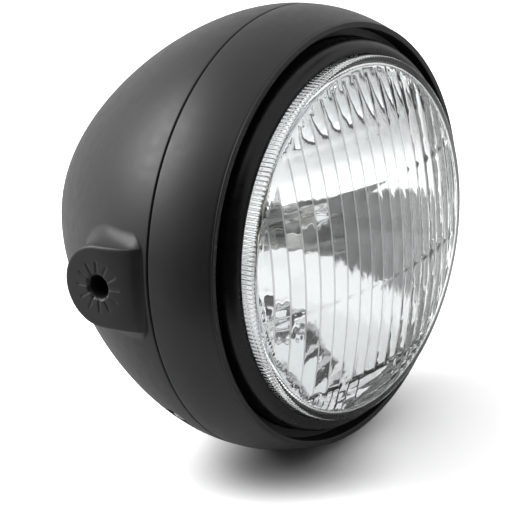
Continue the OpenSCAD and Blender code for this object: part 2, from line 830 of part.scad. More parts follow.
// Sprung wire that presses the bulb flange on its collar
module bulb_clip() {
    hook = [catch_place - clip_ball_radius - 0.2, catch_width / 2 + 1.5];
    half = [[-clip_screw_place - clip_screw_radius - 1.2, clip_loop],
        [-clip_screw_place + clip_screw_radius + 1.3, clip_loop], [-clip_arm - 1.4, clip_arm * 0.64],
        [-clip_arm * 0.77, clip_arm], [clip_arm, clip_arm], hook];
    color("#b5b8ba") lamp_axis() translate([0, 0, base_back - clip_ball_radius]) wire(concat(
        half,
        [for (i = [len(half) - 1:-1:0]) [half[i][0], -half[i][1]]]
    ), clip_wire_radius, clip_ball_radius);
}

module clip_screw() {
    color("#a9adb0") lamp_axis() translate([-clip_screw_place, 0, base_back - 2 * clip_ball_radius])
        rotate([180, 0, 0])
            screw(clip_screw_radius, neck_back - base_back + 2 * clip_ball_radius - 0.5, 3.4);
}

// Rubber cover over the back of the bulb, open only at the three blades
module bulb_boot() {
    sheet = 1.6;
    shoulder_drop = 6;
    shoulder = base_back - shoulder_drop;
    neck = base_skirt_radius + 0.2;
    rear = base_skirt_back - 2;
    color("#161616") difference() {
        lathe([[0, rear - sheet], [neck + sheet, rear - sheet], [neck + sheet, base_skirt_back],
            [collar_radius - 2, shoulder - sheet], [collar_radius + sheet, shoulder + 1.5],
            [collar_radius + sheet, neck_back - 0.4], [collar_radius, neck_back - 0.4],
            [collar_radius, shoulder + 2], [collar_radius - 2.4, shoulder], [neck, base_skirt_back + 2],
            [neck, rear], [0, rear]]);
        blade_places() translate([-blade_width / 2 - 0.1, -blade_sheet / 2 - 0.1, rear - sheet - 1])
            cube([blade_width + 0.2, blade_sheet + 0.2, sheet + 2]);
    }
}

module parking_grommet() {
    flange = parking_hole_radius + 2;
    color("#151515") parking_axis() rotate_extrude() polygon([
        [socket_radius, parking_tube_back - 2], [flange, parking_tube_back - 2],
        [flange, parking_tube_back], [parking_hole_radius, parking_tube_back],
        [parking_hole_radius, parking_tube_back + socket_depth],
        [socket_radius, parking_tube_back + socket_depth]
    ]);
}

module parking_socket() {
    back = parking_tube_back - socket_length;
    color("#2a2a2c") parking_axis() rotate_extrude() polygon([
        [0, back], [socket_radius + 1.5, back], [socket_radius + 1.5, back + 3], [socket_radius, back + 3],
        [socket_radius, parking_tube_back + socket_depth],
        [parking_bulb_radius, parking_tube_back + socket_depth],
        [parking_bulb_radius, parking_tube_back - 2], [0, parking_tube_back - 2]
    ]);
}

module parking_bulb() {
    color("#eef2f4", 0.4) parking_axis() rotate_extrude() polygon(concat(
        [[0, parking_tube_back - 2], [parking_bulb_radius, parking_tube_back - 2]],
        arc([0, parking_bulb_tip - parking_bulb_radius], parking_bulb_radius, 0, 90, 8)
    ));
}

housing();
trim_ring();
inner_bezel();
lens();
lens_sealant();
reflector();
retaining_ring();
ring_tongues();
retaining_screws();
housing_seal();
trim_screws();
trim_nuts();
mount_nuts();
cable_grommet();
bulb_collar();
bulb_base();
bulb_glass();
bulb_supports();
bulb_filaments();
bulb_dip_shield();
bulb_terminals();
bulb_clip();
clip_screw();
bulb_boot();
parking_grommet();
parking_socket();
parking_bulb();
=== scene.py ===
import math

import bmesh
import bpy
import numpy as np
from mathutils import Matrix, Vector


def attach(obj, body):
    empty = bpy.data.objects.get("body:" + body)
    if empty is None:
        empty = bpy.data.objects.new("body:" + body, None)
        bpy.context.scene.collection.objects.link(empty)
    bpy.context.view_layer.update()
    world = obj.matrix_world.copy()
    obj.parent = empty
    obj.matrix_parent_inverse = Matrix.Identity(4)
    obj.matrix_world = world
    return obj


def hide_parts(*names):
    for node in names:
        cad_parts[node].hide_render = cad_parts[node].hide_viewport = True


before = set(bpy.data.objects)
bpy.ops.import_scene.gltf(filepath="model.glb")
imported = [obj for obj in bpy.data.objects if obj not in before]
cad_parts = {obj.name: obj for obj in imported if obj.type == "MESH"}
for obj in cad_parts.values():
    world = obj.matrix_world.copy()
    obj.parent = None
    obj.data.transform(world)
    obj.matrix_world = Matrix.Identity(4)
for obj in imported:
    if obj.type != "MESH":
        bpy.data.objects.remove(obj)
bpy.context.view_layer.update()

TAU = 2 * math.pi
MM = 0.001

# Sizes in millimetres. They follow the part's source, apart from the soft edges, the teeth marks, the lip
# and the flutes, which are finer here. A place along the optical axis is given as forward of the seam
# plane, and the lamp looks along -Y.
SEAM_RADIUS = 85.0
SHELL_DEPTH = 103.0
SHELL_SHOULDER = 42.0
TIP_ROUNDNESS = 30.0
SHELL_WALL = 2.5
SEAM_GAP = 0.8
SEAM_BEVEL = 0.4
SPIGOT_LENGTH = 7.0
SPIGOT_WALL = 2.0
SKIRT_WALL = 2.8
FIT = 0.3

BOSS_PROUD = 3.8
BOSS_RADIUS = 15.5
BOSS_EDGE = 1.4
BOSS_FOOT = 5.2
BOSS_SETBACK = 20.2
BOSS_BLEND = 2.8
SLOPE_RUN = 7.4
SLOPE_START = -0.6
TEETH = 12
TEETH_RADIUS = 9.9
TOOTH_DEPTH = 0.3
TOOTH_WIDTH = 0.8
BOLT_HOLE_RADIUS = 4.2
BOLT_SEAT_WALL = 11.9

TRIM_SCREW_ANGLE = 43
TRIM_SCREW_SETBACK = 13.0
POCKET_LENGTH = 16
POCKET_RADIUS = 4
POCKET_ROUND = 0.55
POCKET_PATCH = 3.0
POCKET_FLOOR = 80.5

INLET_STATION = 0.59
INLET_PAD_RADIUS = 15.5
INLET_HOLE_RADIUS = 11.0
INLET_FACE = 1.2
INLET_INSIDE = -5.4
GROMMET_BORE = 6.0
GROMMET_RADIUS = 14.0

BAND_LENGTH = 24.1
BAND_TAPER = 4.9
BAND_BULGE = 1.35
LIP_WIDTH = 2.4
LIP_RISE = 0.85
GROOVE_FRONT = 18.9
GROOVE_WIDTH = 3.6
FLANGE_BACK = 15.4
LEDGE_BACK = 8.0
LEDGE_FRONT = 9.5

BEZEL_FACE = 5.8
BEZEL_RISE = 5.0
BEZEL_LIP = 2.6
BEZEL_WALL = 2.0
BEZEL_FLANGE = 3.0
CLAMP_MARGIN = 4.3

RIM_FRONT = 33.6
RIM_ROUND = 1.0
DOME_HEIGHT = 12.0
DOME_BALL = 194.72
GLASS = 3.0
RIBS = 250
RIB_DEPTH = 0.35
LENS_FLANGE = 3.5
FLUTE_PITCH = 6.8
FLUTE_DEPTH = 0.13
FLUTE_GROWTH = 0.62
ZONE_EDGES = (-60.0, -49.2, -13.7, 23.2, 43.0, 66.0)
ZONE_LEAN = 0.07
STEP_PITCH = 5.2
STEP_RISE = 0.55

FOCAL = 20.0
MOUTH_RADIUS = 62.8
NECK_RADIUS = 19.6
REFLECTOR_WALL = 1.0
SEALANT = 0.8
PARKING_DROP = 39.0
PARKING_HOLE_RADIUS = 7.5

BULB_SEAT = -28.0
COLLAR_THICKNESS = 2.5
BASE_FLANGE_RADIUS = 21.5
BASE_FLANGE = 1.2
BASE_SKIRT = 7.0
BASE_SKIRT_RADIUS = 14.0
CUP_RADIUS = 11.0
CUP_HEIGHT = 11.0
GLASS_TUBE = 8.6
GLASS_TUBE_WALL = 1.0
GLASS_SINK = 6.0
BULB_REACH = 53.0

# Sizes worked out from them.
FRONT_END = RIM_FRONT + DOME_HEIGHT
SEAM_Y = (FRONT_END - SHELL_DEPTH) / 2
SHELL_START = -(SEAM_GAP / 2 + SEAM_BEVEL)
SKIRT_INNER = SEAM_RADIUS - SKIRT_WALL
SHELL_CURVE = np.array([[SEAM_RADIUS, SHELL_START], [SEAM_RADIUS, -SHELL_SHOULDER],
                        [TIP_ROUNDNESS, -SHELL_DEPTH], [0.0, -SHELL_DEPTH]])
BOSS_Y = SEAM_Y + BOSS_SETBACK
BOSS_FACE = SEAM_RADIUS + BOSS_PROUD
LIP_RADIUS = SEAM_RADIUS - BAND_TAPER
GROOVE_OUTER = LIP_RADIUS - LIP_WIDTH
BEZEL_RADIUS = GROOVE_OUTER - GROOVE_WIDTH
BEZEL_FRONT = BAND_LENGTH + BEZEL_RISE
LENS_SEAT = BEZEL_FRONT - BEZEL_LIP
LENS_RADIUS = BEZEL_RADIUS - BEZEL_FACE
LENS_BACK = LENS_SEAT - LENS_FLANGE
FLANGE_RADIUS = BEZEL_RADIUS - BEZEL_WALL - FIT
DOME_CENTRE = FRONT_END - DOME_BALL
INNER_BALL = DOME_BALL - GLASS
REFLECTOR_FRONT = LENS_BACK - SEALANT
REFLECTOR_BACK = REFLECTOR_FRONT - REFLECTOR_WALL
VERTEX = REFLECTOR_BACK - MOUTH_RADIUS ** 2 / (4 * FOCAL)
NECK_BACK = BULB_SEAT + COLLAR_THICKNESS


# mesh building
class Skin:
    """Vertices, faces and known normals of one piece, in millimetres in the row frame."""

    def __init__(self):
        self.points, self.normals, self.faces = [], [], []

    def add(self, points, normals=None):
        points = np.asarray(points, float).reshape(-1, 3)
        start = len(self.points)
        self.points.extend(points.tolist())
        given = np.zeros_like(points) if normals is None else np.reshape(normals, (-1, 3))
        self.normals.extend(given.tolist())
        return np.arange(start, start + len(points))

    def band(self, a, b):
        """Quads between two closed loops of the same length."""
        n = len(a)
        for i in range(n):
            j = (i + 1) % n
            self.faces.append((int(a[i]), int(a[j]), int(b[j]), int(b[i])))

    def rings(self, loops):
        for a, b in zip(loops, loops[1:]):
            self.band(a, b)

    def fan(self, loop, tip):
        n = len(loop)
        for i in range(n):
            self.faces.append((int(loop[i]), int(loop[(i + 1) % n]), int(tip)))

    def sew(self, a, place_a, b, place_b):
        """Triangles between two closed loops of any length, matched by their angle in a plane."""
        a, angle_a = turned(a, place_a)
        b, angle_b = turned(b, place_b)
        i = j = 0
        while i < len(a) or j < len(b):
            if j >= len(b) or (i < len(a) and angle_a[i + 1] <= angle_b[j + 1]):
                self.faces.append((int(a[i]), int(a[(i + 1) % len(a)]), int(b[j % len(b)])))
                i += 1
            else:
                self.faces.append((int(a[i % len(a)]), int(b[(j + 1) % len(b)]), int(b[j])))
                j += 1

    def build(self, name, sharp):
        """The piece as an object, smooth but for edges of more than sharp degrees."""
        mesh = bpy.data.meshes.new(name)
        mesh.from_pydata([[c * MM for c in p] for p in self.points], [], self.faces)
        work = bmesh.new()
        work.from_mesh(mesh)
        bmesh.ops.recalc_face_normals(work, faces=work.faces)
        work.to_mesh(mesh)
        work.free()
        mesh.shade_smooth()
        mesh.set_sharp_from_angle(angle=math.radians(sharp))
        if np.abs(np.array(self.normals)).max() > 0:
            mesh.normals_split_custom_set_from_vertices(self.normals)
        made = bpy.data.objects.new(name, mesh)
        bpy.context.scene.collection.objects.link(made)
        return made


def turned(loop, place):
    """A loop counter-clockwise in its plane, from its smallest angle, with the angles rising round it."""
    loop, place = np.asarray(loop), np.asarray(place, float)
    ahead = np.roll(place, -1, axis=0)
    if (place[:, 0] * ahead[:, 1] - place[:, 1] * ahead[:, 0]).sum() < 0:
        loop, place = loop[::-1], place[::-1]
    angle = np.mod(np.arctan2(place[:, 1], place[:, 0]), TAU)
    start = int(np.argmin(angle))
    loop, angle = np.roll(loop, -start), np.roll(angle, -start)
    angle = np.unwrap(angle)
    return loop, np.maximum.accumulate(np.append(angle, angle[0] + TAU))


def edge_loop(mask, index, wrap):
    """The vertices round a patch of grid cells, in order."""
    rows, cols = mask.shape
    after = {}
    for i, j in np.argwhere(mask):
        k = (j + 1) % index.shape[1]
        sides = ((0, -1, (i, j), (i + 1, j)), (1, 0, (i + 1, j), (i + 1, k)),
                 (0, 1, (i + 1, k), (i, k)), (-1, 0, (i, k), (i, j)))
        for di, dj, p, q in sides:
            ni, nj = i + di, (j + dj) % cols if wrap else j + dj
            if not (0 <= ni < rows and 0 <= nj < cols) or not mask[ni, nj]:
                after[int(index[p])] = int(index[q])
    first = next(iter(after))
    loop, k = [first], after[first]
    while k != first:
        loop.append(k)
        k = after[k]
    return np.array(loop)


def on_axis(radius, forward, angle):
    """Points on circles round the optical axis."""
    radius, forward, angle = np.broadcast_arrays(radius, forward, angle)
    return np.stack([radius * np.cos(angle), SEAM_Y - forward, radius * np.sin(angle)], -1)


def circle(n):
    return np.arange(n) * TAU / n


def eased(points, radii, steps):
    """A profile with its corners rounded. radii gives each corner's radius, 0 for a sharp one."""
    points = [np.array(p, float) for p in points]
    out = []
    for i, (p, radius) in enumerate(zip(points, radii)):
        if radius == 0:
            out.append(p)
            continue
        a, b = points[i - 1] - p, points[(i + 1) % len(points)] - p
        la, lb = np.linalg.norm(a), np.linalg.norm(b)
        turn = math.acos(max(-1, min(1, a @ b / la / lb)))
        reach = min(radius / math.tan(turn / 2), 0.48 * la, 0.48 * lb)
        a, b = p + a / la * reach, p + b / lb * reach
        for s in np.linspace(0, 1, steps):
            out.append((1 - s) ** 2 * a + 2 * s * (1 - s) * p + s * s * b)
    return out


def lathe(name, profile, segments, placed=on_axis):
    """A closed body of revolution from a closed profile of [radius, forward]."""
    skin, angle, loops, tips = Skin(), circle(segments), [], []
    for radius, forward in profile:
        if radius < 1e-6:
            tips.append((len(loops), skin.add(placed(0, forward, 0))[0]))
            loops.append(None)
        else:
            loops.append(skin.add(placed(radius, forward, angle)))
    n = len(loops)
    for i in range(n):
        a, b = loops[i], loops[(i + 1) % n]
        if a is not None and b is not None:
            skin.band(a, b)
    for i, tip in tips:
        for near in (loops[i - 1], loops[(i + 1) % n]):
            if near is not None:
                skin.fan(near, tip)
    return skin.build(name, 40)


# the shell's curve
def bezier(t):
    """Radius and forward place along the shell's outer curve, from the seam at 0 to the tip at 1."""
    t = np.asarray(t, float)[..., None]
    p = SHELL_CURVE
    return (1 - t) ** 3 * p[0] + 3 * (1 - t) ** 2 * t * p[1] + 3 * (1 - t) * t * t * p[2] + t ** 3 * p[3]


def bezier_normal(t):
    """The outward direction there."""
    t = np.asarray(t, float)[..., None]
    p = SHELL_CURVE
    s = 3 * (1 - t) ** 2 * (p[1] - p[0]) + 6 * (1 - t) * t * (p[2] - p[1]) + 3 * t * t * (p[3] - p[2])
    s = s / np.linalg.norm(s, axis=-1, keepdims=True)
    return np.stack([-s[..., 1], s[..., 0]], -1)


# The curve in fine steps, to look places and directions up in.
FINE_T = np.linspace(0, 1, 6001)
FINE = bezier(FINE_T)
FINE_N = bezier_normal(FINE_T)


def shell_radius(forward):
    """The plain shell's outer radius."""
    return np.interp(-np.asarray(forward), -FINE[:, 1], FINE[:, 0])


def shell_normals(points):
    """Outward normals of the plain shell at points on it."""
    forward = SEAM_Y - points[..., 1]
    angle = np.arctan2(points[..., 2], points[..., 0])
    nr = np.interp(-forward, -FINE[:, 1], FINE_N[:, 0])
    na = np.interp(-forward, -FINE[:, 1], FINE_N[:, 1])
    return np.stack([nr * np.cos(angle), -na, nr * np.sin(angle)], -1)


def cut_patch(skin, grid, index, cells, footprint, plane, rings, normals=None):
    """Takes the cells under a feature out of the shell and sews the feature's rings in, outermost first.

    footprint(points) says which grid points the feature covers, plane(points) gives places in its plane.
    """
    covered = footprint(grid)
    rows = covered.shape[0]
    ahead = np.roll(covered, -1, axis=1)
    mask = covered[:rows - 1] | covered[1:] | ahead[:rows - 1] | ahead[1:]
    cells[mask] = False
    hole = edge_loop(mask, index, True)
    if normals is None:
        normals = [None] * len(rings)
    loops = [skin.add(rings[0], shell_normals(rings[0]))]
    loops += [skin.add(ring, away) for ring, away in zip(rings[1:], normals[1:])]
    flat = {int(i): p for i, p in zip(index.ravel(), plane(grid).reshape(-1, 2))}
    skin.sew(hole, [flat[int(i)] for i in hole], loops[0], plane(rings[0]))
    skin.rings(loops)
    return loops


# housing
def shell_side(y, z):
    """How far out along X the plain shell is at a place seen from the side."""
    r = shell_radius(SEAM_Y - y)
    return np.sqrt(np.maximum(r * r - z * z, 1.0))


def soft_min(a, b, width):
    """The smaller of two values, with the change between them rounded."""
    mix = np.clip(0.5 + (b - a) / (2 * width), 0, 1)
    return b + (a - b) * mix - width * mix * (1 - mix)


def boss_side(y, z):
    """The same with the bolt pad: round at the back, sloping down to the seam, on a hollow foot."""
    shell = shell_side(y, z)
    reach = np.hypot(np.maximum(y - BOSS_Y, 0), z)
    over_edge = np.maximum(reach - (BOSS_RADIUS - BOSS_EDGE), 0)
    edge = np.sqrt(np.maximum(BOSS_EDGE ** 2 - over_edge ** 2, 0))
    away = np.clip((reach - BOSS_RADIUS) / BOSS_FOOT, 0, 1)
    wall = BOSS_FACE - BOSS_EDGE - shell
    pad = np.where(reach < BOSS_RADIUS, wall + edge, wall * (1 - np.sqrt(1 - (1 - away) ** 2)))
    slope = BOSS_PROUD / SLOPE_RUN * np.maximum(SLOPE_START - (SEAM_Y - y), 0)
    hold = 1 - np.clip(slope / BOSS_BLEND, 0, 1)
    return shell + soft_min(pad, slope, BOSS_BLEND) * (1 - hold * hold)


def boss_rings(side):
    """Rings from the plain shell over the pad's foot and face into the bolt hole, and the pad's normals."""
    n, samples, steps = 300, 1400, 46
    patch_back, patch_front, squareness, flat_radius = 24.5, 18.75, 8, 12.6
    phi = circle(n)
    c, s = np.cos(phi), np.sin(phi)
    towards = np.maximum(-c, 0.0)
    outer = ((1 / patch_back) ** squareness + (towards / patch_front) ** squareness) ** (-1 / squareness)
    share = np.linspace(0, 1, samples)[:, None]
    rho = outer * (1 - share) + flat_radius * share
    x = boss_side(BOSS_Y + rho * c, rho * s)
    run = np.cumsum(np.hypot(np.diff(rho, axis=0), np.diff(x, axis=0)), axis=0)
    run = np.concatenate([np.zeros((1, n)), run])
    rings, normals = [], []
    for f in np.linspace(0, 1, steps):
        at = np.array([np.interp(f * run[-1, i], run[:, i], rho[:, i]) for i in range(n)])
        y, z, d = BOSS_Y + at * c, at * s, 0.02
        x_at = boss_side(y, z) if f else shell_side(y, z)
        away = np.stack([np.full(n, 2 * d), boss_side(y - d, z) - boss_side(y + d, z),
                         boss_side(y, z - d) - boss_side(y, z + d)], -1)
        away /= np.linalg.norm(away, axis=1, keepdims=True)
        rings.append(np.stack([side * x_at, y, z], -1))
        normals.append(away * [side, 1, 1])

    tooth_angle = np.round(phi / (TAU / TEETH)) * (TAU / TEETH)
    face = [(rho, 0) for rho in (12.0, 10.6, TEETH_RADIUS, 9.6, 9.2, 8.4, 7.4, 6.6, 5.9, 5.4)]
    mouth = [(5.1, 0.1), (4.8, 0.35), (4.5, 0.7), (4.3, 1.1), (BOLT_HOLE_RADIUS, 1.6)]
    for rho, sink in face + mouth:
        y, z = BOSS_Y + rho * c, rho * s
        across = np.abs(rho * np.sin(phi - tooth_angle))
        fade = np.clip((TEETH_RADIUS - rho) / 0.7, 0, 1) * (sink < 0.5)
        tooth = TOOTH_DEPTH * fade * np.clip(1 - across / TOOTH_WIDTH, 0, 1)
        rings.append(np.stack([side * (boss_side(y, z) - sink - tooth), y, z], -1))
    for depth in (6.0, BOLT_SEAT_WALL):
        y, z = BOSS_Y + BOLT_HOLE_RADIUS * c, BOLT_HOLE_RADIUS * s
        rings.append(np.stack([np.full(n, side * (BOSS_FACE - depth)), y, z], -1))
    normals += [np.zeros((n, 3))] * (len(rings) - len(normals))
    return rings, normals


def pill_outline(n, length, radius):
    """Points and outward directions round a slot shape, long along the first axis."""
    straight = length - 2 * radius
    bend = math.pi * radius
    out, away = [], []
    for d in np.arange(n) * 2 * (straight + bend) / n:
        if d < straight:
            centre, turn = straight / 2 - d, math.pi / 2
        elif d < straight + bend:
            centre, turn = -straight / 2, math.pi / 2 + (d - straight) / radius
        elif d < 2 * straight + bend:
            centre, turn = -straight / 2 + d - straight - bend, -math.pi / 2
        else:
            centre, turn = straight / 2, -math.pi / 2 + (d - 2 * straight - bend) / radius
        away.append((math.cos(turn), math.sin(turn)))
        out.append((centre + radius * math.cos(turn), radius * math.sin(turn)))
    return np.array(out), np.array(away)


def side_frame(angle, forward):
    """Outward, round and forward directions at a place on the side of the shell."""
    out = np.array([math.cos(angle), 0, math.sin(angle)])
    along = np.array([-math.sin(angle), 0, math.cos(angle)])
    return out, along, np.array([0, -1.0, 0]), np.array([0, SEAM_Y - forward, 0])


def pocket_rings(angle):
    """The slot of a trim screw: an eased mouth in the shell, straight walls and a flat floor."""
    n = 120
    out, along, ahead, origin = side_frame(angle, -TRIM_SCREW_SETBACK)
    shape, away = pill_outline(n, POCKET_LENGTH, POCKET_RADIUS)

    def skin_at(uv):
        r = shell_radius(uv[:, 1] - TRIM_SCREW_SETBACK)
        return np.sqrt(r * r - uv[:, 0] ** 2)

    rings = []
    for offset in (POCKET_PATCH, 2.0, 1.2, 0.7, POCKET_ROUND):
        uv = shape + away * offset
        rings.append((uv, skin_at(uv)))
    for turn in np.radians([20, 45, 70, 90]):
        uv = shape + away * POCKET_ROUND * (1 - math.sin(turn))
        rings.append((uv, skin_at(uv) - POCKET_ROUND * (1 - math.cos(turn))))
    for share in (0.3, 0.6, 0.85):
        rings.append((shape, skin_at(shape) * (1 - share) + (POCKET_FLOOR + 0.5) * share))
    rings.append((shape - away * 0.1, np.full(n, POCKET_FLOOR + 0.15)))
    for scale in (0.93, 0.8, 0.6, 0.3):
        rings.append((shape * scale, np.full(n, POCKET_FLOOR)))
    return [origin + out * h[:, None] + along * uv[:, :1] + ahead * uv[:, 1:] for uv, h in rings]


def inlet_frame():
    """Origin, outward, sideways and upward directions of the cable inlet, low on the back of the shell."""
    place, (nr, na) = bezier(INLET_STATION), bezier_normal(INLET_STATION)
    origin = np.array([0, SEAM_Y - place[1], -place[0]])
    out = np.array([0, -na, -nr])
    side = np.array([1.0, 0, 0])
    return origin, out, side, np.cross(out, side)


def at_inlet(radius, height, angle):
    origin, out, side, up = inlet_frame()
    radius, height, angle = np.broadcast_arrays(radius, height, angle)
    return (origin + out * height[..., None] + side * (radius * np.cos(angle))[..., None]
            + up * (radius * np.sin(angle))[..., None])


def inlet_rings():
    """The inlet's raised pad on an eased foot, its flat face and its hole."""
    n, edge, foot_rise = 160, 0.6, 1.3
    phi = circle(n)

    def skin_height(rho):
        low, high = np.full(n, -12.0), np.full(n, 2.0)
        for _ in range(40):
            mid = (low + high) / 2
            p = at_inlet(rho, mid, phi)
            outside = np.hypot(p[:, 0], p[:, 2]) > shell_radius(SEAM_Y - p[:, 1])
            low, high = np.where(outside, low, mid), np.where(outside, mid, high)
        return low

    stations = [(rho, skin_height(rho)) for rho in (19.5, 18.4, 17.4, 16.8)]
    foot_radius, foot = stations[-1]
    corner = skin_height(INLET_PAD_RADIUS)
    for f in (0.25, 0.5, 0.75, 1.0):
        a, b, c = (1 - f) ** 2, 2 * f * (1 - f), f * f
        stations.append((a * foot_radius + (b + c) * INLET_PAD_RADIUS,
                         a * foot + b * corner + c * (corner + foot_rise)))
    for turn in np.radians([0, 30, 60, 90]):
        stations.append((INLET_PAD_RADIUS - edge * (1 - math.cos(turn)),
                         INLET_FACE - edge * (1 - math.sin(turn))))
    stations += [(13.0, INLET_FACE), (INLET_HOLE_RADIUS, INLET_FACE), (INLET_HOLE_RADIUS, INLET_INSIDE)]
    return [at_inlet(rho, np.broadcast_to(h, n), phi) for rho, h in stations]


def make_housing():
    """The shell with its two bolt pads, two slots, cable inlet and the spigot in the seam."""
    skin = Skin()
    columns, rows = 336, 98
    own_side, inlet_patch, inlet_reach = 40.0, 19.8, 14
    length = np.concatenate([[0], np.cumsum(np.linalg.norm(np.diff(FINE, axis=0), axis=1))])
    marks = np.concatenate([[0, 0.25], np.linspace(1.5, length[-1] - 0.6, rows)])
    t = np.interp(marks, length, FINE_T)
    angle = circle(columns)
    profile, normal = bezier(t), bezier_normal(t)
    grid = on_axis(profile[:, :1], profile[:, 1:], angle[None])
    away = np.stack([normal[:, :1] * np.cos(angle), np.broadcast_to(-normal[:, 1:], (len(t), columns)),
                     normal[:, :1] * np.sin(angle)], -1)
    index = skin.add(grid, away).reshape(len(t), columns)
    cells = np.ones((len(t) - 1, columns), bool)

    for side in (-1, 1):
        rings, normals = boss_rings(side)
        edge = np.linalg.norm(rings[0][:, 1:] - [BOSS_Y, 0], axis=1)

        def footprint(p, side=side, edge=edge):
            dy, z = p[..., 1] - BOSS_Y, p[..., 2]
            turn = np.mod(np.arctan2(z, dy), TAU)
            limit = np.interp(turn, np.append(circle(len(edge)), TAU), np.append(edge, edge[0]))
            return (p[..., 0] * side > own_side) & (np.hypot(dy, z) < limit + 0.12)

        cut_patch(skin, grid, index, cells, footprint, lambda p: p[..., 1:] - [BOSS_Y, 0], rings, normals)

    for degrees in (-90 - TRIM_SCREW_ANGLE, -90 + TRIM_SCREW_ANGLE):
        angle_at = math.radians(degrees)
        out, along, ahead, origin = side_frame(angle_at, -TRIM_SCREW_SETBACK)

        def plane(p, along=along, ahead=ahead, origin=origin):
            return np.stack([(p - origin) @ along, (p - origin) @ ahead], -1)

        def covered(p, out=out, plane=plane):
            uv = plane(p)
            far = np.maximum(np.abs(uv[..., 0]) - (POCKET_LENGTH / 2 - POCKET_RADIUS), 0)
            return (p @ out > own_side) & (np.hypot(far, uv[..., 1]) < POCKET_RADIUS + POCKET_PATCH + 0.25)

        rings = pocket_rings(angle_at)
        loops = cut_patch(skin, grid, index, cells, covered, plane, rings)
        skin.fan(loops[-1], skin.add(origin + out * POCKET_FLOOR)[0])

    origin, out, side, up = inlet_frame()

    def inlet_plane(p):
        return np.stack([(p - origin) @ side, (p - origin) @ up], -1)

    def under_inlet(p):
        near = np.linalg.norm(inlet_plane(p), axis=-1) < inlet_patch
        return ((p - origin) @ out > -inlet_reach) & near

    cut_patch(skin, grid, index, cells, under_inlet, inlet_plane, inlet_rings())

    for i, j in np.argwhere(cells):
        k = (j + 1) % columns
        skin.faces.append((int(index[i, j]), int(index[i, k]), int(index[i + 1, k]), int(index[i + 1, j])))
    skin.fan(index[-1], skin.add([[0, SEAM_Y + SHELL_DEPTH, 0]], [[0, 1, 0]])[0])

    spigot_outer = SKIRT_INNER - FIT
    spigot_inner = spigot_outer - SPIGOT_WALL
    front = eased([[SEAM_RADIUS - SEAM_BEVEL, -SEAM_GAP / 2], [spigot_outer, -SEAM_GAP / 2],
                   [spigot_outer, SPIGOT_LENGTH], [spigot_inner, SPIGOT_LENGTH], [spigot_inner, -3.0]],
                  [0, 0, 0.2, 0.2, 0], 3)
    inner_t = np.linspace(0.03, 0.985, 40)
    inner = bezier(inner_t) - SHELL_WALL * bezier_normal(inner_t)
    loops = [index[0]] + [skin.add(on_axis(r, a, angle)) for r, a in list(front) + list(inner)]
    skin.rings(loops)
    skin.fan(loops[-1], skin.add([[0, SEAM_Y + SHELL_DEPTH - SHELL_WALL, 0]])[0])
    return skin.build("Housing_shell", 50)


# trim ring and bezel
def make_trim_ring():
    """The band with its front lip, the groove's floor and the ledges inside."""
    gap = SEAM_GAP / 2
    start = gap + SEAM_BEVEL
    band = [[SEAM_RADIUS - BAND_TAPER * v + 4 * BAND_BULGE * v * (1 - v), start + (BAND_LENGTH - start) * v]
            for v in np.linspace(0, 1, 26)]
    lip_front = BAND_LENGTH + LIP_RISE
    lip = [[LIP_RADIUS, BAND_LENGTH], [LIP_RADIUS - 0.15, BAND_LENGTH + 0.15],
           [LIP_RADIUS + 0.02, BAND_LENGTH + 0.4], [LIP_RADIUS - 0.2, lip_front], [GROOVE_OUTER, lip_front]]
    bezel_bore = BEZEL_RADIUS + FIT
    groove = [[GROOVE_OUTER, GROOVE_FRONT], [bezel_bore, GROOVE_FRONT], [bezel_bore, FLANGE_BACK]]
    ledges = [[GROOVE_OUTER + 2, FLANGE_BACK], [GROOVE_OUTER + 2, LEDGE_FRONT],
              [GROOVE_OUTER + 1, LEDGE_FRONT], [GROOVE_OUTER + 1, LEDGE_BACK], [SKIRT_INNER, LEDGE_BACK]]
    profile = [[SKIRT_INNER, gap], [SEAM_RADIUS - 0.25, gap], [SEAM_RADIUS - 0.07, gap + 0.07]] + band[:-1]
    profile += eased(lip + groove + ledges, [0, 0.1, 0.2, 0.7, 0.5, 0.6, 0.3, 0, 0, 0, 0, 0, 0], 5)
    return lathe("Trim_ring", profile, 400)


def make_bezel():
    """The inner bezel: a rounded nose over the rim of the glass, and a flange behind it."""
    nose_width, nose_length = 5.1, 5.6
    clamp_flange = BEZEL_RADIUS + CLAMP_MARGIN
    bore = LENS_RADIUS + FIT
    nose = [[BEZEL_RADIUS - nose_width * (1 - math.cos(t)), BEZEL_FRONT - nose_length * (1 - math.sin(t))]
            for t in np.radians(np.linspace(0, 90, 15))]
    nose += [[bore + 0.2, BEZEL_FRONT - 0.05], [bore + 0.05, BEZEL_FRONT - 0.2], [bore, BEZEL_FRONT - 0.4]]
    back = FLANGE_BACK - BEZEL_FLANGE
    inner = BEZEL_RADIUS - BEZEL_WALL
    flange = [[inner, back], [clamp_flange, back], [clamp_flange, FLANGE_BACK], [BEZEL_RADIUS, FLANGE_BACK]]
    profile = flange + nose + [[bore, LENS_SEAT], [inner, LENS_SEAT]]
    return lathe("Inner_bezel", profile, 400)


# lens
def dome(radius, ball):
    """How far forward a ball of the glass is at a radius from the axis."""
    return DOME_CENTRE + np.sqrt(ball * ball - np.asarray(radius) ** 2)


